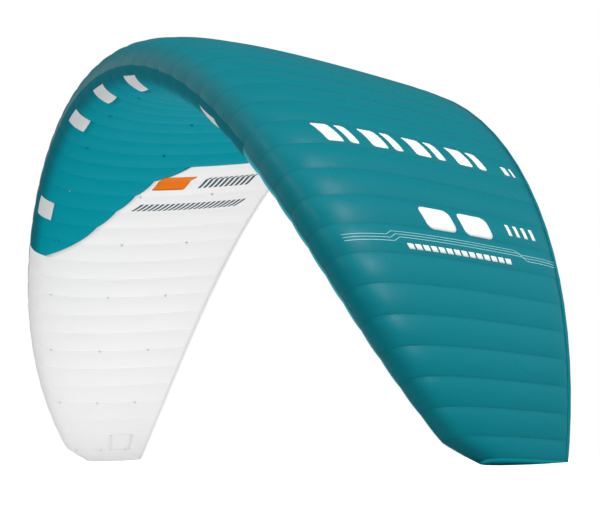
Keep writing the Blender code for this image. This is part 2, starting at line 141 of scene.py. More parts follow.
def makeSky():
    world = bpy.data.worlds.new("studio")
    scene.world = world
    world.use_nodes = True
    tree = world.node_tree
    sky = tree.nodes["Background"]
    sky.inputs["Color"].default_value = linearColour(studio["skyColour"])
    heading = addNode(tree, "ShaderNodeTexCoord")
    axes = addNode(tree, "ShaderNodeSeparateXYZ", {}, {"Vector": heading.outputs["Generated"]})
    start, end, left = studio["ceiling"]
    ceiling = addNode(tree, "ShaderNodeMapRange",
                      {"interpolation_type": "SMOOTHSTEP", "From Min": start, "From Max": end,
                       "To Min": 1.0, "To Max": left}, {"Value": axes.outputs["Z"]})
    total = ceiling.outputs[0]
    for direction, near, nearest, left in studio["darkSides"]:
        facing = addNode(tree, "ShaderNodeVectorMath", {"operation": "DOT_PRODUCT", 1: direction},
                         {0: heading.outputs["Generated"]})
        dim = addNode(tree, "ShaderNodeMapRange",
                      {"interpolation_type": "SMOOTHSTEP", "From Min": near, "From Max": nearest,
                       "To Min": 1.0, "To Max": left}, {"Value": facing.outputs["Value"]})
        product = addNode(tree, "ShaderNodeMath", {"operation": "MULTIPLY"}, {0: total, 1: dim.outputs[0]})
        total = product.outputs[0]
    level = addNode(tree, "ShaderNodeMath", {"operation": "MULTIPLY", 1: studio["skyLevel"]}, {0: total})
    tree.links.new(level.outputs[0], sky.inputs["Strength"])
    back = addNode(tree, "ShaderNodeBackground",
                   {"Color": linearColour(studio["backColour"]), "Strength": 1.0})
    rays = addNode(tree, "ShaderNodeLightPath")
    both = addNode(tree, "ShaderNodeMixShader", {},
                   {0: rays.outputs["Is Camera Ray"], 1: sky.outputs[0], 2: back.outputs[0]})
    tree.links.new(both.outputs[0], tree.nodes["World Output"].inputs["Surface"])


def makeLamps():
    for name, start, end, target, width, power in studio["lamps"]:
        lamp = bpy.data.lights.new(name, "AREA")
        lamp.shape = "RECTANGLE"
        run = Vector(end) - Vector(start)
        lamp.size, lamp.size_y = run.length, width
        lamp.energy = power
        holder = bpy.data.objects.new(name, lamp)
        holder.location = (Vector(start) + Vector(end)) / 2
        run.normalize()
        back = holder.location - Vector(target)
        back = (back - run * back.dot(run)).normalized()
        holder.rotation_euler = Matrix((run, back.cross(run), back)).transposed().to_euler()
        scene.collection.objects.link(holder)


makeFloor()
makeSky()
makeLamps()
print("camera, floor and light")


# The wing's shape: shares of its span and chord, which come from the frame's own size
wing = {
    "cells": 47,
    "chordTaper": (0.435, 0.0175, 0.2445),   # on the 2nd, 4th and 6th power of the span share
    "sweep": (0.394, -0.0986, 0.3636),       # the nose line's set-back, same powers
    "tipNoseCut": 0.08,
    "arcTurn": (1.2295, 0.1884, -0.1727),    # on the 1st, 3rd and 5th power
    "arcSteps": 4000,
    "widthTaper": 0.4124,
    "widthPower": 2.284,
    "tipCell": 0.47,
    "nosePower": 0.449,
    "upperHeight": 0.107,
    "lowerHeight": 0.0891,
    "camber": -0.0082,
    "seamStep": 0.0013,                      # half the space between the skins of the frame
    "billow": 0.064,                         # a cell's bulge over its width
    "billowFade": 0.10,                      # chord share where it dies out at the trailing edge
    "noseBillow": (0.30, 0.06),              # its share at the nose, and the chord share where it is full
    "zipFlat": (0.80, 0.90),                 # chord shares between which the zip's panel goes flat
    "sectionSteps": 200,
}
halfRibs = (wing["cells"] + 1) // 2


def powerSum(values, base, first):
    return sum(v * base ** (first + 2 * k) for k, v in enumerate(values))


def ribShares():
    k = np.arange(1, halfRibs)
    widths = np.concatenate([[0.5], 1 - wing["widthTaper"] * (k / (halfRibs - 1)) ** wing["widthPower"]])
    widths[-1] = wing["tipCell"]
    run = np.cumsum(widths)
    return run / run[-1]


def heightShare(x, upper):  # section height over the chord
    peak = wing["nosePower"] ** (1 / (1 - wing["nosePower"]))
    full = (x ** wing["nosePower"] - x) / (peak ** wing["nosePower"] - peak)
    side = wing["upperHeight"] if upper else -wing["lowerHeight"]
    return side * full + wing["camber"] * 4 * x * (1 - x)


def slopeShare(x, upper):
    peak = wing["nosePower"] ** (1 / (1 - wing["nosePower"]))
    x = np.maximum(x, 1e-9)
    rise = (wing["nosePower"] * x ** (wing["nosePower"] - 1) - 1) / (peak ** wing["nosePower"] - peak)
    side = wing["upperHeight"] if upper else -wing["lowerHeight"]
    return side * rise + wing["camber"] * 4 * (1 - 2 * x)


def makeRibs():
    shares = ribShares()
    ends = np.linspace(0, 1, wing["arcSteps"] + 1)
    middles = (ends[1:] + ends[:-1]) / 2
    turns = powerSum(wing["arcTurn"], middles, 1)
    across = np.concatenate([[0], np.cumsum(np.cos(turns))]) / wing["arcSteps"]
    down = np.concatenate([[0], np.cumsum(np.sin(turns))]) / wing["arcSteps"]
    low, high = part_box("top_skin")
    rootChord = high.y - low.y
    # the tip's upper surface stands outside its chord line, so that comes off the half span
    tipChord = rootChord * (1 - powerSum(wing["chordTaper"], 1.0, 2)) - wing["tipNoseCut"]
    thickest = heightShare(np.linspace(0, 1, wing["sectionSteps"]), True).max()
    tipRise = tipChord * thickest + wing["seamStep"]
    halfSpan = (high.x - tipRise * math.sin(powerSum(wing["arcTurn"], 1.0, 1))) / across[-1]
    rootRise = rootChord * thickest + wing["seamStep"]
    crown = high.z - rootRise + np.interp(shares[0], ends, down) * halfSpan
    ribs = {"centre": [], "along": [], "out": [], "chord": [], "nose": []}
    for number in range(2 * halfRibs):
        half = halfRibs - 1 - number if number < halfRibs else number - halfRibs
        side = -1 if number < halfRibs else 1
        share = shares[half]
        turn = side * powerSum(wing["arcTurn"], share, 1)
        cut = wing["tipNoseCut"] if half == halfRibs - 1 else 0
        reach = np.interp(share, ends, across) * halfSpan
        ribs["centre"].append((side * reach, 0, crown - np.interp(share, ends, down) * halfSpan))
        ribs["along"].append((math.cos(turn), 0, -math.sin(turn)))
        ribs["out"].append((math.sin(turn), 0, math.cos(turn)))
        ribs["chord"].append(rootChord * (1 - powerSum(wing["chordTaper"], share, 2)) - cut)
        ribs["nose"].append(powerSum(wing["sweep"], share, 2) - rootChord / 2 + cut)
    return {key: np.array(value, float) for key, value in ribs.items()}, halfSpan


ribs, halfSpan = makeRibs()
widths = np.linalg.norm(np.diff(ribs["centre"], axis=0), axis=1)
print("wing shape, half span", round(halfSpan, 4), "m")


# Points on the inflated cloth
def smoothRise(x):
    return x * x * (3 - 2 * x)


# Cell is a rib number with its fraction, and the shares are those of the ribs on either side
def clothPoints(cell, shareBefore, shareAfter, upper, lift=0.0, fullness=1.0):
    first = np.clip(np.floor(cell).astype(int), 0, wing["cells"] - 1)
    part = (cell - first)[:, None]
    sides = []
    for rib, share in ((first, shareBefore), (first + 1, shareAfter)):
        height = ribs["chord"][rib] * heightShare(share, upper)
        slope = slopeShare(share, upper)
        along = np.stack([-slope, np.ones_like(slope)] if upper else [slope, -np.ones_like(slope)], 1)
        along /= np.linalg.norm(along, axis=1)[:, None]
        point = ribs["centre"][rib] + ribs["out"][rib] * height[:, None]
        point[:, 1] += ribs["nose"][rib] + share * ribs["chord"][rib]
        normal = ribs["out"][rib] * along[:, 1:2]
        normal[:, 1] += along[:, 0]
        sides.append((point, normal))
    (pointA, normalA), (pointB, normalB) = sides
    normal = normalA * (1 - part) + normalB * part
    normal /= np.linalg.norm(normal, axis=1)[:, None]
    share = shareBefore * (1 - part[:, 0]) + shareAfter * part[:, 0]
    fade = np.sin(np.clip((1 - share) / wing["billowFade"], 0, 1) * math.pi / 2)
    rise = np.clip(share / wing["noseBillow"][1], 0, 1)
    fade = fade * (wing["noseBillow"][0] + (1 - wing["noseBillow"][0]) * smoothRise(rise))
    if not upper:  # the zip's panel in the middle cell lies flat
        start, end = wing["zipFlat"]
        flat = np.clip((share - start) / (end - start), 0, 1)
        fade = np.where(first == halfRibs - 1, fade * (1 - smoothRise(flat)), fade)
    bulge = fullness * wing["billow"] * widths[first] * 4 * part[:, 0] * (1 - part[:, 0]) * fade
    return pointA * (1 - part) + pointB * part + normal * (bulge + lift)[:, None], normal


panels = {
    "columns": 8,            # faces across a cell
    "topRows": 56,
    "noseRows": 5,           # from the nose seam to the inlets' front edge
    "inletRows": 6,
    "frontRows": 12,
    "rearRows": 24,
    "wall": 0.0005,
    "inletStart": 0.006,     # chord shares
    "inletEnd": 0.058,
    "seamRib": 11,           # half-span rib where the white panel meets the nose
    "centreRib": 5,          # half-span rib where the centre panel ends
    "centreCells": (18, 29),
    "tealTabs": 6,           # half-span rib up to which the bridle tabs come out of teal cloth
    "centreSeam": 0.55,
    "seamGrowth": 0.13,
    "seamPower": 0.65,
    "inletCells": (14, 20, 23, 26, 32),
    "dumpCells": (1, 45),
    "dumpRows": (12, 18),    # of the rear rows
    "topPower": 2.4,         # rows lie closer together toward the nose, by these powers
    "bottomPowers": (2.2, 1.3, 1.2, 1.0),
    "merge": 0.00002,
}
openRows = (panels["noseRows"], panels["noseRows"] + panels["inletRows"])
seamRow = openRows[1] + panels["frontRows"]


def halfIndex(rib):
    return halfRibs - 1 - rib if rib < halfRibs else rib - halfRibs


def seamShare(rib):
    half = halfIndex(rib)
    if half <= panels["centreRib"]:
        return panels["centreSeam"]
    cellsIn = max(0, panels["seamRib"] - half)
    return panels["inletEnd"] + panels["seamGrowth"] * cellsIn ** panels["seamPower"]


def steps(low, high, count, power):
    return low + (high - low) * (np.arange(1, count + 1) / count) ** power


def topShares():
    return (np.arange(panels["topRows"] + 1) / panels["topRows"]) ** panels["topPower"]


def bottomShares(rib):
    ends = (0, panels["inletStart"], panels["inletEnd"], seamShare(rib), 1)
    counts = (panels["noseRows"], panels["inletRows"], panels["frontRows"], panels["rearRows"])
    rows = [steps(*run) for run in zip(ends, ends[1:], counts, panels["bottomPowers"])]
    return np.concatenate([[0], *rows])


topTable = np.array([topShares()] * (2 * halfRibs))
bottomTable = np.array([bottomShares(rib) for rib in range(2 * halfRibs)])


# A plain grid, one unit a cell along X and one a row along Y, and each corner's column and row
def gridPiece(firstCell, lastCell, rows):
    columns = panels["columns"]
    across = (lastCell - firstCell + 1) * columns
    bm = bmesh.new()
    bmesh.ops.create_grid(bm, x_segments=across, y_segments=rows, size=0.5)
    bm.verts.ensure_lookup_table()
    flat = np.array([v.co[:] for v in bm.verts])
    column = np.rint((flat[:, 0] + 0.5) * across).astype(int)
    row = np.rint((flat[:, 1] + 0.5) * rows).astype(int)
    return bm, column, row


# One sheet over a run of cells: the table has each row's chord share at every rib
def clothPiece(cells, table, upper, keep=None, rowRange=None, lift=0.0, margin=0.0, fullness=1.0):
    firstCell, lastCell = cells
    firstRow, lastRow = rowRange or (0, table.shape[1] - 1)
    bm, column, row = gridPiece(firstCell, lastCell, lastRow - firstRow)
    count = panels["columns"]
    cell = firstCell + column / count
    if margin:
        middle = (firstCell + lastCell + 1) / 2
        cell = middle + (cell - middle) * (1 - margin)
    first = np.clip(np.floor(cell + 1e-9).astype(int), 0, wing["cells"] - 1)
    shareA, shareB = table[first, row + firstRow], table[first + 1, row + firstRow]
    places, _ = clothPoints(cell, shareA, shareB, upper, lift, fullness)
    part = cell - first
    seamGap = np.minimum(part, 1 - part) * widths[first]
    share = shareA * (1 - part) + shareB * part
    chord = ribs["chord"][first] * (1 - part) + ribs["chord"][first + 1] * part
    layer = bm.loops.layers.uv.new("cloth")
    seamLayer = bm.verts.layers.float.new("seam")
    foreLayer = bm.verts.layers.float.new("fore")
    for vert, place, gap, fore in zip(bm.verts, places, seamGap, share * chord):
        vert.co = place
        vert[seamLayer] = gap
        vert[foreLayer] = fore
    run = np.concatenate([[0], np.cumsum(widths)])
    u = run[first] + part * widths[first]
    v = share * chord
    for face in bm.faces:
        for loop in face.loops:
            index = loop.vert.index
            loop[layer].uv = (u[index], v[index])
    drop = []
    for face in bm.faces:
        faceCell = firstCell + min(column[v.index] for v in face.verts) // count
        faceRow = firstRow + min(row[v.index] for v in face.verts)
        if keep and not keep(faceCell, faceRow):
            drop.append(face)
    for edge in bm.edges:
        a, b = (v.index for v in edge.verts)
        edge.smooth = not (column[a] == column[b] and column[a] % count == 0)
    bmesh.ops.delete(bm, geom=drop, context="FACES")
    bmesh.ops.remove_doubles(bm, verts=bm.verts, dist=panels["merge"])
    return bm


def finishPiece(name, bm, material, body, wall=0.0, outward=None):
    bm.normal_update()
    if outward is not None:
        lean = sum((face.normal.dot(outward(face)) * face.calc_area() for face in bm.faces), 0.0)
        if lean < 0:
            bmesh.ops.reverse_faces(bm, faces=bm.faces)
    for face in bm.faces:
        face.smooth = True
    mesh = bpy.data.meshes.new(name)
    bm.to_mesh(mesh)
    bm.free()
    mesh.materials.append(material)
    piece = bpy.data.objects.new(name, mesh)
    scene.collection.objects.link(piece)
    if wall:
        solid = piece.modifiers.new("wall", "SOLIDIFY")
        solid.thickness = wall
        solid.offset = -1
    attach(piece, body)
    return piece


# Materials: sizes in metres
weave = {
    "threadShare": 0.16,       # half a thick thread's width over the grid's spacing
    "gridShow": 0.12,
    "threadHeight": 0.0004,
    "threadBump": 0.35,
    "tone": {"Scale": 1.3, "Detail": 4.0, "Roughness": 0.55},         # slow drift of the dye
    "crumples": {"Scale": 9.0, "Detail": 3.0, "Distortion": 0.6},     # soft creases about 110 mm apart
    "crumpleHeight": 0.004,
    "crumple": 0.25,
    "crumpleRange": (0.3, 0.7),
    "shineSpread": 0.05,
    "gloss": 0.05,
    # the dark teal of the painted shade toward the nose
    "paintedShadeColour": "#003038",
}
sewing = {
    "tuckWidth": 0.008,
    "tuckShow": 0.12,
    "stitchPlace": 0.006,      # from the seam
    "stitchWidth": 0.0009,
    "stitchLength": 0.012,
    "stitchShare": 0.68,       # the rest of a stitch's length is the gap to the next
    "puckerReach": 0.05,
    "puckerScale": (3.0, 34.0, 1.0),
    "puckerDetail": 2.0,
    "pucker": 4.0,
}


# Woven cloth with a raised square grid of thick threads, at a seam a darker tuck, stitches and puckers, and
# where a look asks, painted shade darkening the nose
def clothMaterial(name, look):
    made = bpy.data.materials.new(name)
    made.use_nodes = True
    tree = made.node_tree
    shader = tree.nodes["Principled BSDF"]
    shader.inputs["Specular IOR Level"].default_value = look.get("gloss", weave["gloss"])
    uvNode = addNode(tree, "ShaderNodeUVMap", {"uv_map": "cloth"})
    place = addNode(tree, "ShaderNodeTexCoord")
    onCloth = look.get("uv", True)
    axes = addNode(tree, "ShaderNodeSeparateXYZ", {},
                   {"Vector": uvNode.outputs["UV"] if onCloth else place.outputs["Object"]})
    pair = ("X", "Y") if onCloth else ("Y", "Z")
    lines = []
    for axis in pair:
        turns = addNode(tree, "ShaderNodeMath", {"operation": "MULTIPLY", 1: 1 / look["gridPitch"]},
                        {0: axes.outputs[axis]})
        part = addNode(tree, "ShaderNodeMath", {"operation": "PINGPONG", 1: 0.5}, {0: turns.outputs[0]})
        line = addNode(tree, "ShaderNodeMapRange",
                       {"interpolation_type": "SMOOTHSTEP", "From Min": 0.0, "From Max": weave["threadShare"],
                        "To Min": 1.0, "To Max": 0.0}, {"Value": part.outputs[0]})
        lines.append(line.outputs[0])
    grid = addNode(tree, "ShaderNodeMath", {"operation": "MAXIMUM"}, {0: lines[0], 1: lines[1]})
    drift = addNode(tree, "ShaderNodeTexNoise", weave["tone"], {"Vector": place.outputs["Object"]})
    crumple = addNode(tree, "ShaderNodeTexNoise", weave["crumples"], {"Vector": place.outputs["Object"]})
    tone = addNode(tree, "ShaderNodeMixRGB",
                   {"Color1": linearColour(look["shade"]), "Color2": linearColour(look["colour"])},
                   {"Fac": drift.outputs["Fac"]})
    gridShare = addNode(tree, "ShaderNodeMath",
                        {"operation": "MULTIPLY", 1: look.get("gridShow", weave["gridShow"])},
                        {0: grid.outputs[0]})
    withGrid = addNode(tree, "ShaderNodeMixRGB", {"Color2": linearColour(look["gridColour"])},
                       {"Fac": gridShare.outputs[0], "Color1": tone.outputs["Color"]})
    colour = withGrid.outputs["Color"]
    height = grid.outputs[0]
    if "seamColour" in look:
        seam = addNode(tree, "ShaderNodeAttribute", {"attribute_name": "seam"})
        tuck = addNode(tree, "ShaderNodeMapRange",
                       {"interpolation_type": "SMOOTHSTEP", "From Min": 0.0, "From Max": sewing["tuckWidth"],
                        "To Min": sewing["tuckShow"], "To Max": 0.0}, {"Value": seam.outputs["Fac"]})
        tucked = addNode(tree, "ShaderNodeMixRGB", {"Color2": linearColour(look["seamColour"])},
                         {"Fac": tuck.outputs[0], "Color1": colour})
        onLine = addNode(tree, "ShaderNodeMath",
                         {"operation": "COMPARE", 1: sewing["stitchPlace"], 2: sewing["stitchWidth"]},
                         {0: seam.outputs["Fac"]})
        beat = addNode(tree, "ShaderNodeMath", {"operation": "MULTIPLY", 1: 1 / sewing["stitchLength"]},
                       {0: axes.outputs[pair[1]]})
        fraction = addNode(tree, "ShaderNodeMath", {"operation": "FRACT"}, {0: beat.outputs[0]})
        dash = addNode(tree, "ShaderNodeMath", {"operation": "LESS_THAN", 1: sewing["stitchShare"]},
                       {0: fraction.outputs[0]})
        thread = addNode(tree, "ShaderNodeMath", {"operation": "MULTIPLY"},
                         {0: onLine.outputs[0], 1: dash.outputs[0]})
        stitched = addNode(tree, "ShaderNodeMixRGB", {"Color2": linearColour(look["threadColour"])},
                           {"Fac": thread.outputs[0], "Color1": tucked.outputs["Color"]})
        colour = stitched.outputs["Color"]
        near = addNode(tree, "ShaderNodeMapRange",
                       {"interpolation_type": "SMOOTHSTEP", "From Min": 0.0,
                        "From Max": sewing["puckerReach"], "To Min": 1.0, "To Max": 0.0},
                       {"Value": seam.outputs["Fac"]})
        stretch = addNode(tree, "ShaderNodeMapping", {"Scale": sewing["puckerScale"]},
                          {"Vector": uvNode.outputs["UV"]})
        pleats = addNode(tree, "ShaderNodeTexNoise", {"Scale": 1.0, "Detail": sewing["puckerDetail"]},
                         {"Vector": stretch.outputs[0]})
        pucker = addNode(tree, "ShaderNodeMath", {"operation": "MULTIPLY"},
                         {0: pleats.outputs["Fac"], 1: near.outputs[0]})
        deep = addNode(tree, "ShaderNodeMath", {"operation": "MULTIPLY_ADD", 1: sewing["pucker"]},
                       {0: pucker.outputs[0], 2: thread.outputs[0]})
        summed = addNode(tree, "ShaderNodeMath", {"operation": "ADD"},
                         {0: deep.outputs[0], 1: grid.outputs[0]})
        height = summed.outputs[0]
    if "paintedNoseShade" in look:  # painted shade: the colour darkens toward the nose, where the nose's shade falls
        share, start, end = look["paintedNoseShade"]
        fore = addNode(tree, "ShaderNodeAttribute", {"attribute_name": "fore"})
        shadeAmount = addNode(tree, "ShaderNodeMapRange",
                         {"interpolation_type": "SMOOTHSTEP", "From Min": start, "From Max": end,
                          "To Min": share, "To Max": 0.0}, {"Value": fore.outputs["Fac"]})
        shadedColour = addNode(tree, "ShaderNodeMixRGB", {"Color2": linearColour(weave["paintedShadeColour"])},
                        {"Fac": shadeAmount.outputs[0], "Color1": colour})
        colour = shadedColour.outputs["Color"]
    tree.links.new(colour, shader.inputs["Base Color"])
    low, high = weave["crumpleRange"]
    rough = addNode(tree, "ShaderNodeMapRange",
                    {"From Min": low, "From Max": high, "To Min": look["roughness"] - weave["shineSpread"],
                     "To Max": look["roughness"] + weave["shineSpread"]}, {"Value": crumple.outputs["Fac"]})
    tree.links.new(rough.outputs[0], shader.inputs["Roughness"])
    fine = addNode(tree, "ShaderNodeBump",
                   {"Strength": weave["threadBump"], "Distance": weave["threadHeight"]}, {"Height": height})
    broad = addNode(tree, "ShaderNodeBump",
                    {"Strength": look.get("crumple", weave["crumple"]), "Distance": weave["crumpleHeight"]},
                    {"Height": crumple.outputs["Fac"], "Normal": fine.outputs[0]})
    tree.links.new(broad.outputs[0], shader.inputs["Normal"])
    return made


# Ripstop nylon's grid of 5 mm squares is drawn 10 mm apart, so that it shows on a wing this long
clothLooks = {
    "ripstopTeal": {  # silicone-coated ripstop nylon: a smooth face with a soft highlight
        "colour": "#00747F", "shade": "#006F7A", "gridColour": "#005C66", "seamColour": "#00535D",
        "threadColour": "#00626D", "gloss": 0.075, "crumple": 0.10, "roughness": 0.31, "gridPitch": 0.010,
        # painted shade: the cloth is darkened toward the nose
        "paintedNoseShade": (0.12, 0.012, 0.07)},  # share at the nose, and the distances over which it fades
    "ripstopLightTeal": {  # the same nylon with its coating inside: nearly matt
        "colour": "#0091A0", "shade": "#008D9C", "gridColour": "#007C88", "seamColour": "#008490",
        "threadColour": "#0090A0", "gloss": 0.02, "roughness": 0.6, "gridPitch": 0.010,
        # painted shade: the light teal is darkened toward the nose
        "paintedNoseShade": (0.55, 0.0, 0.055)},
    "ripstopWhite": {  # white ripstop nylon: pale grey tucks and white thread
        "colour": "#F2F0EF", "shade": "#EEECEB", "gridColour": "#E1E0DF", "seamColour": "#D6D8D8",
        "threadColour": "#FFFFFF", "roughness": 0.5, "gridPitch": 0.010},
    "tipTealPaintedLight": {  # ripstop nylon without seams, for the tips and the band under the nose; its light teal is painted lighter, standing in for light the shaded tips miss
        "colour": "#00AEBD", "shade": "#00A8B7", "gridColour": "#0096A4", "roughness": 0.46,
        "gridPitch": 0.010},
    "flapWhite": {  # lighter ripstop nylon, which swings on its sewn edge
        "colour": "#F2F0EF", "shade": "#EEECEB", "gridColour": "#E1E0DF", "roughness": 0.55,
        "gridPitch": 0.008},
    "ribCloth": {  # hard-finished ripstop polyester: matt and a little grey
        "colour": "#E9EBEB", "shade": "#DFE3E4", "gridColour": "#C9CFD1", "roughness": 0.6,
        "gridPitch": 0.010, "uv": False},
    "ribClothTealPaintedLight": {  # the same where its tabs come out of teal cloth, in a teal painted lighter to cancel the tabs' shade
        "colour": "#00ABBA", "shade": "#00A3B2", "gridColour": "#007580", "roughness": 0.6,
        "gridPitch": 0.010, "uv": False},
    "inletNet": {  # knitted polyester mesh of 1 mm holes, drawn 4 mm apart so that they show
        "colour": "#D6D8D8", "shade": "#CFD1D1", "gridColour": "#F0F1F1", "gridShow": 0.6, "roughness": 0.65,
        "gridPitch": 0.004},
    "hemTape": {  # woven polyester tape: fine ribs, nearly matt
        "colour": "#007681", "shade": "#00707B", "gridColour": "#0B6670", "roughness": 0.55,
        "gridPitch": 0.004},
    "printWhite": {  # screen-printed ink, as dull as the cloth under it
        "colour": "#ECEEEE", "shade": "#E6E8E8", "gridColour": "#D9DCDC", "roughness": 0.5,
        "gridPitch": 0.010, "uv": False},
    "printLine": {
        "colour": "#9CCDD1", "shade": "#94C7CC", "gridColour": "#7DB5BA", "roughness": 0.5,
        "gridPitch": 0.010, "uv": False},
    "printOrange": {
        "colour": "#F07A10", "shade": "#EA720A", "gridColour": "#C95F08", "roughness": 0.5,
        "gridPitch": 0.010, "uv": False},
    "printGrey": {
        "colour": "#56646F", "shade": "#4E5D69", "gridColour": "#424F59", "roughness": 0.5,
        "gridPitch": 0.010, "uv": False},
    "tealWebbingPaintedLight": {  # woven nylon webbing with threads 1.5 mm apart: matt, its teal painted lighter to cancel the loops' shade
        "colour": "#00ABBA", "shade": "#00A3B2", "gridColour": "#007A86", "roughness": 0.7,
        "gridPitch": 0.0015, "uv": False},
    "whiteWebbing": {
        "colour": "#EBECEC", "shade": "#E4E6E6", "gridColour": "#D2D5D6", "roughness": 0.7,
        "gridPitch": 0.0015, "uv": False},
    "zipTape": {  # woven polyester zip tape
        "colour": "#26292B", "shade": "#1E2123", "gridColour": "#3A3E41", "roughness": 0.75,
        "gridPitch": 0.002, "uv": False},
    "zipAcetal": {  # moulded acetal: a dull shine
        "colour": "#17191A", "shade": "#121415", "gridColour": "#1F2223", "roughness": 0.35,
        "gridPitch": 0.0012, "uv": False},
}
cloths = {name: clothMaterial(name, look) for name, look in clothLooks.items()}
print("materials", len(cloths))


# Skins
def faceOut(upper):
    def direction(face):
        middle = face.calc_center_median()
        nearest = int(np.argmin(np.abs(ribs["centre"][:, 0] - middle.x)))
        out = Vector(ribs["out"][nearest])
        return out if upper else -out
    return direction


def sheetArea(bm):
    return sum(face.calc_area() for face in bm.faces)


def inHalf(column):
    return max(halfIndex(column), halfIndex(column + 1))


def keepCentre(column, row):
    if inHalf(column) > panels["seamRib"]:
        return False
    if column in panels["inletCells"] and openRows[0] <= row < openRows[1]:
        return False
    return row < seamRow or inHalf(column) <= panels["centreRib"]


def keepSide(column, row):
    if inHalf(column) <= panels["centreRib"]:
        return False
    if column in panels["dumpCells"] and panels["dumpRows"][0] <= row - seamRow < panels["dumpRows"][1]:
        return False
    if row >= seamRow:
        return True
    return inHalf(column) > panels["seamRib"] and row < openRows[1]


skins = [
    {"name": "topSkin", "node": "top_skin", "upper": True, "cells": (0, 46), "cloth": "ripstopTeal",
     "slot": "ripstop_teal", "flat": (7.40, 1.72)},
    {"name": "bottomSkinCentre", "node": "bottom_skin_centre", "upper": False, "cells": (12, 34),
     "keep": keepCentre, "cloth": "ripstopLightTeal", "slot": "ripstop_light_teal", "flat": (4.10, 1.72)},
    {"name": "bottomSkinLeft", "node": "bottom_skin_left", "upper": False, "cells": (0, 17),
     "keep": keepSide, "cloth": "ripstopWhite", "slot": "ripstop_white", "flat": (2.75, 1.60)},
    {"name": "bottomSkinRight", "node": "bottom_skin_right", "upper": False, "cells": (29, 46),
     "keep": keepSide, "cloth": "ripstopWhite", "slot": "ripstop_white", "flat": (2.75, 1.60),
     "noseBand": (0.0035, 0.020)},  # how far from the nose the dark teal and then the light teal reach
]
skinPieces = {}
for skin in skins:
    table = topTable if skin["upper"] else bottomTable
    bm = clothPiece(skin["cells"], table, skin["upper"], skin.get("keep"), lift=wing["seamStep"])
    area = sheetArea(bm)
    foreLayer = bm.verts.layers.float["fore"]
    for face in bm.faces:
        reach = max(v[foreLayer] for v in face.verts)
        if skin.get("noseBand") and reach < skin["noseBand"][1]:
            face.material_index = 2 if reach < skin["noseBand"][0] else 1
    piece = finishPiece(skin["name"], bm, cloths[skin["cloth"]], "canopy", panels["wall"],
                        faceOut(skin["upper"]))
    if skin.get("noseBand"):
        # the band under the nose takes the tip cloth, whose teal is painted lighter to stand in for light
        piece.data.materials.append(cloths["tipTealPaintedLight"])
        piece.data.materials.append(cloths["ripstopTeal"])
    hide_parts(skin["node"])
    skinPieces[skin["name"]] = piece
    skin["area"] = area
    print(skin["name"], round(area, 3), "m2", len(piece.data.polygons), "faces")


# Tip ribs: the flat cloth that closes each end
tipCloth = {"rows": 8, "stand": 0.0004, "bulge": 0.006, "fullHeight": 0.12, "flat": (0.42, 0.09)}


def makeTip(name, rib, side):
    shares = topShares()
    bm = bmesh.new()
    bmesh.ops.create_grid(bm, x_segments=panels["topRows"], y_segments=tipCloth["rows"], size=0.5)
    layer = bm.loops.layers.uv.new("cloth")
    for vert in bm.verts:
        share = shares[round((vert.co.x + 0.5) * panels["topRows"])]
        part = vert.co.y + 0.5
        chord = ribs["chord"][rib]
        low, high = (chord * float(heightShare(np.array([share]), upper)[0]) for upper in (False, True))
        low, high = low - wing["seamStep"], high + wing["seamStep"]
        height = low + (high - low) * part
        full = min(1, (high - low) / (tipCloth["fullHeight"] * chord))
        aside = tipCloth["stand"] + tipCloth["bulge"] * 4 * part * (1 - part) * full
        place = ribs["centre"][rib] + ribs["out"][rib] * height + side * ribs["along"][rib] * aside
        vert.co = (place[0], ribs["nose"][rib] + share * chord, place[2])
    for face in bm.faces:
        for loop in face.loops:
            loop[layer].uv = (loop.vert.co.y, loop.vert.co.z)
    bmesh.ops.remove_doubles(bm, verts=bm.verts, dist=panels["merge"])
    area = sheetArea(bm)
    piece = finishPiece(name, bm, cloths["tipTealPaintedLight"], "canopy", panels["wall"],
                        lambda face: Vector(side * ribs["along"][rib]))
    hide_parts("tip_rib_" + ("right" if side > 0 else "left"))
    print(name, round(area, 4), "m2")


makeTip("tipRibLeft", 0, -1)
makeTip("tipRibRight", 2 * halfRibs - 1, 1)


# Inlet nets, the valve flaps behind them and the flaps of the tip's sand outlets
inletNet = {"margin": 0.004, "sink": 0.0002, "flat": (0.20, 0.16)}
valveFlap = {"lead": 0.003, "lap": 0.020, "depth": 0.0032, "margin": 0.06, "fullness": 0.2, "rows": 14,
             "power": 1.4, "flat": (0.18, 0.20)}
dumpFlap = {"margin": 0.008, "flat": (0.13, 0.16)}
flapEnd = panels["inletEnd"] + valveFlap["lap"]
flapRows = steps(valveFlap["lead"], flapEnd, valveFlap["rows"], valveFlap["power"])
flapTable = np.array([flapRows] * (2 * halfRibs))
for column in panels["inletCells"]:
    number = "%02d" % column
    bm = clothPiece((column, column), bottomTable, False, None, openRows, wing["seamStep"] - inletNet["sink"],
                    inletNet["margin"])
    area = sheetArea(bm)
    net = finishPiece("inletNet" + number, bm, cloths["inletNet"], "canopy", panels["wall"],
                      faceOut(False))
    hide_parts("inlet_screen_" + number)
    print("inlet", number, round(area, 4), "m2")

    bm = clothPiece((column, column), flapTable, False, None, None, -valveFlap["depth"], valveFlap["margin"],
                    valveFlap["fullness"])
    area = sheetArea(bm)
    flap = finishPiece("valveFlap" + number, bm, cloths["flapWhite"], "valve_" + number,
                       panels["wall"], faceOut(False))
    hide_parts("valve_flap_" + number)
    print("valve flap", number, round(area, 4), "m2")

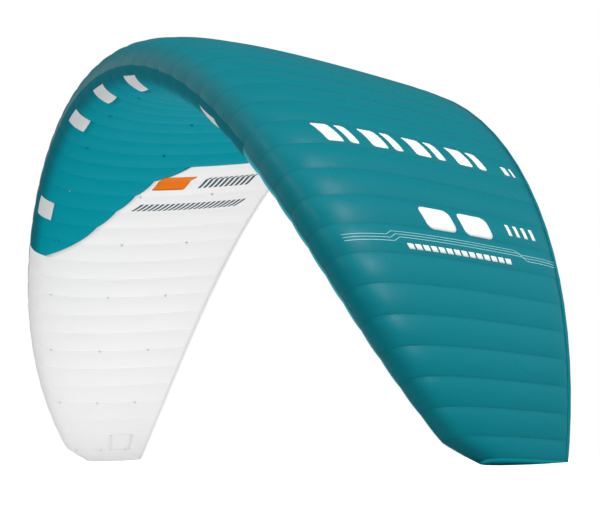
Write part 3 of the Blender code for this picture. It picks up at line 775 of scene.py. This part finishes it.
for column, side in ((panels["dumpCells"][0], "left"), (panels["dumpCells"][1], "right")):
    rows = (seamRow + panels["dumpRows"][0], seamRow + panels["dumpRows"][1])
    bm = clothPiece((column, column), bottomTable, False, None, rows, wing["seamStep"], dumpFlap["margin"])
    area = sheetArea(bm)
    flap = finishPiece("dumpFlap" + side.capitalize(), bm, cloths["flapWhite"], "dump_" + side,
                       panels["wall"], faceOut(False))
    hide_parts("dump_flap_" + side)
    print("outlet flap", side, round(area, 4), "m2")
print("inlets and flaps")


# Trailing edge tape, folded over both skins
trailingTape = {"depth": 0.014, "stand": 0.0010, "nose": 0.0016, "rows": 8, "wall": 0.0004,
                "flat": (7.30, 0.040)}


def makeTrailingTape():
    bm, column, row = gridPiece(0, wing["cells"] - 1, trailingTape["rows"])
    cell = column / panels["columns"]
    first = np.clip(np.floor(cell + 1e-9).astype(int), 0, wing["cells"] - 1)
    half = trailingTape["rows"] / 2
    back = np.abs(row - half) / half * trailingTape["depth"]
    shareA = 1 - back / ribs["chord"][first]
    shareB = 1 - back / ribs["chord"][first + 1]
    lift = wing["seamStep"] + trailingTape["stand"]
    upperPlaces, _ = clothPoints(cell, shareA, shareB, True, lift)
    lowerPlaces, _ = clothPoints(cell, shareA, shareB, False, lift)
    layer = bm.loops.layers.uv.new("cloth")
    run = np.concatenate([[0], np.cumsum(widths)])
    for index, vert in enumerate(bm.verts):
        place = upperPlaces[index] if row[index] > half else lowerPlaces[index]
        if row[index] == half:
            place = (upperPlaces[index] + lowerPlaces[index]) / 2
            place[1] += trailingTape["nose"]
        vert.co = place
    for face in bm.faces:
        for loop in face.loops:
            index = loop.vert.index
            aside = (cell[index] - first[index]) * widths[first[index]]
            loop[layer].uv = (run[first[index]] + aside, row[index] * trailingTape["depth"] / half)
    for face in bm.faces:
        if max(row[v.index] for v in face.verts) <= half:
            middle = min(cell[v.index] for v in face.verts)
            face.material_index = 1 if panels["centreCells"][0] <= middle < panels["centreCells"][1] else 2
    area = sheetArea(bm)
    piece = finishPiece("trailingTape", bm, cloths["hemTape"], "canopy", trailingTape["wall"])
    piece.data.materials.append(cloths["ripstopLightTeal"])
    piece.data.materials.append(cloths["ripstopWhite"])
    bm = bmesh.new()
    bm.from_mesh(piece.data)
    bmesh.ops.recalc_face_normals(bm, faces=bm.faces)
    bm.normal_update()
    aft = sum((face.normal.y * face.calc_area() for face in bm.faces), 0.0)
    if aft < 0:
        bmesh.ops.reverse_faces(bm, faces=bm.faces)
    bm.to_mesh(piece.data)
    bm.free()
    print("trailing tape", round(area, 4), "m2")
    return piece, area


tape, tapeArea = makeTrailingTape()


# Bridle tabs: webbing loops sewn through the lower skin
bridleLoop = {"ribs": range(1, 47, 3), "places": (0.10, 0.40, 0.72), "width": 0.0112, "drop": 0.0172,
              "root": 0.004, "band": 0.0045, "wall": 0.0008, "steps": 14, "square": (0.4, 0.55)}


def makeBridleLoops():
    bm = bmesh.new()
    half, full = bridleLoop["width"] / 2, bridleLoop["drop"] + bridleLoop["root"]
    squareWidth, squareDrop = bridleLoop["square"]  # powers under 1 make the loop squarer than a half circle
    for rib in bridleLoop["ribs"]:
        for share in bridleLoop["places"]:
            spot = np.array([share])
            point, _ = clothPoints(np.array([float(rib)]), spot, spot, False, wing["seamStep"])
            made = bmesh.ops.create_grid(bm, x_segments=bridleLoop["steps"], y_segments=2, size=0.5)
            for vert in made["verts"]:
                turn = (vert.co.x + 0.5) * math.pi
                y = -half * math.copysign(abs(math.cos(turn)) ** squareWidth, math.cos(turn))
                down = full * abs(math.sin(turn)) ** squareDrop - bridleLoop["root"]
                aside = vert.co.y * bridleLoop["band"]
                place = point[0] - ribs["out"][rib] * down + ribs["along"][rib] * aside
                vert.co = (place[0], place[1] + y, place[2])
            onWhite = halfIndex(rib) > panels["centreRib"] and share > seamShare(rib)
            for face in {f for v in made["verts"] for f in v.link_faces}:
                face.material_index = 1 if onWhite else 0
    bmesh.ops.recalc_face_normals(bm, faces=bm.faces)
    piece = finishPiece("bridleLoops", bm, cloths["tealWebbingPaintedLight"], "canopy", bridleLoop["wall"])
    piece.data.materials.append(cloths["whiteWebbing"])
    piece.modifiers["wall"].offset = 0
    return piece


makeBridleLoops()
print("bridle loops")


# Printed graphics: plain bars and pinstripes, laid out flat by rib number and chord share
printFlat = {"cell": 0.13, "chord": 1.3, "lift": 0.0007, "wall": 0.0003, "spanStep": 1 / panels["columns"],
             "chordStep": 0.02, "cornerSteps": 5, "snap": 0.0001}


def bar(corners, rounding=0.0):  # corners are (rib number, chord share)
    return {"corners": corners, "rounding": rounding}


def makePrint(name, shapes, upper, cloth, mirror):
    bm = bmesh.new()
    for shape in shapes:
        corners = [bm.verts.new((rib * printFlat["cell"], share * printFlat["chord"], 0))
                   for rib, share in shape["corners"]]
        bm.faces.new(corners)
        if shape["rounding"]:
            bmesh.ops.bevel(bm, geom=corners, offset=shape["rounding"], offset_type="OFFSET",
                            segments=printFlat["cornerSteps"], profile=0.5, affect="VERTICES", material=-1,
                            clamp_overlap=True)
    low = [min(v.co[k] for v in bm.verts) for k in (0, 1)]
    high = [max(v.co[k] for v in bm.verts) for k in (0, 1)]
    cuts = (printFlat["spanStep"] * printFlat["cell"], printFlat["chordStep"] * printFlat["chord"])
    for axis, step in enumerate(cuts):  # cut small enough to follow the cloth
        for k in range(math.floor(low[axis] / step) + 1, math.ceil(high[axis] / step)):
            spot = Vector((0, 0, 0))
            spot[axis] = k * step
            turn = Vector((0, 0, 0))
            turn[axis] = 1
            whole = bm.verts[:] + bm.edges[:] + bm.faces[:]
            bmesh.ops.bisect_plane(bm, geom=whole, plane_co=spot, plane_no=turn)
    flat = np.array([v.co[:] for v in bm.verts])
    cell = flat[:, 0] / printFlat["cell"]
    if mirror:
        cell = wing["cells"] - cell
    near = np.rint(cell)
    cell = np.where(np.abs(cell - near) < printFlat["snap"], near, cell)
    share = flat[:, 1] / printFlat["chord"]
    places, _ = clothPoints(cell, share, share, upper, wing["seamStep"] + printFlat["lift"])
    for vert, place in zip(bm.verts, places):
        vert.co = place
    bmesh.ops.triangulate(bm, faces=[f for f in bm.faces if len(f.verts) > 4])
    return finishPiece(name, bm, cloths[cloth], "canopy", printFlat["wall"], faceOut(upper))


def barRow(rib0, rib1, start, pitch, lengths, count, lean, rounding):
    bars = []
    for k in range(count):
        share0 = start + pitch * k
        share1 = share0 + lengths[k % len(lengths)]
        corners = [(rib0, share0 + lean), (rib1, share0), (rib1, share1), (rib0, share1 + lean)]
        bars.append(bar(corners, rounding))
    return bars


def strip(points, width):  # a pinstripe along a broken line; width in rib numbers
    half = width / 2
    return [bar([(rib0 - half, share0), (rib0 + half, share0), (rib1 + half, share1), (rib1 - half, share1)])
            for (rib0, share0), (rib1, share1) in zip(points, points[1:])]


graphics = {  # ribs either side, first bar's chord share, pitch, lengths in turn, count, lean, rounding
    "whiteBars": (
        (35.14, 35.88, 0.215, 0.083, (0.060, 0.034), 8, -0.030, 0.010),
        (35.52, 35.86, 0.905, 0.035, (0.020, 0.010), 2, -0.012, 0.003),
        (38.22, 38.98, 0.44, 0.16, (0.125,), 2, -0.02, 0.028),
        (38.30, 38.72, 0.80, 0.035, (0.015,), 4, -0.008, 0.002),
        (39.66, 39.84, 0.31, 0.0335, (0.025,), 14, -0.004, 0.002),
    ),
    "greyBars": (
        (15.05, 15.55, 0.415, 0.0235, (0.012925,), 21, -0.030, 0.0),
        (16.55, 17.2, 0.66, 0.0235, (0.012925,), 10, -0.030, 0.0),
    ),
    "orangeBar": (
        (16.5, 17.38, 0.46, 0.14, (0.14,), 1, -0.03, 0.006),
    ),
}
pinstripe = {
    "count": 3, "pitch": 0.10, "width": 0.022,  # in rib numbers
    "drift": 0.012,                             # chord share by which each next line's corners move back
    "path": ((39.42, 0.066, 0), (39.42, 0.235, 1), (39.28, 0.262, 1), (39.28, 0.80, 1), (39.42, 0.827, 1),
             (39.42, 0.985, 0)),                # rib, chord share, and 1 at a corner
}
printed = {name: [shape for row in rows for shape in barRow(*row)] for name, rows in graphics.items()}
pinstripes = []
for k in range(pinstripe["count"]):
    path = [(rib + pinstripe["pitch"] * k, share + pinstripe["drift"] * k * corner)
            for rib, share, corner in pinstripe["path"]]
    pinstripes += strip(path, pinstripe["width"])
for side, mirror in (("Right", False), ("Left", True)):
    makePrint("printBars" + side, printed["whiteBars"], True, "printWhite", mirror)
    makePrint("pinstripes" + side, pinstripes, True, "printLine", mirror)
for side, mirror in (("Left", False), ("Right", True)):
    makePrint("hatchBand" + side, printed["greyBars"], False, "printGrey", mirror)
    makePrint("orangeBar" + side, printed["orangeBar"], False, "printOrange", mirror)
print("graphics")


# Ribs and zip keep the frame's shape
for name, node in nodes.items():
    cloth = None
    if name.startswith(("loaded_rib", "rib_pair")):
        cloth = "ribCloth"
        if name.startswith("loaded_rib") and halfIndex(int(name.split("_")[-1])) <= panels["tealTabs"]:
            cloth = "ribClothTealPaintedLight"
    elif name == "zip_tape":
        cloth = "zipTape"
    elif name == "zip_slider":
        cloth = "zipAcetal"
    if cloth:
        for part in node.material_slots:
            part.material = cloths[cloth]

for skin in skins:
    piece = skinPieces[skin["name"]]
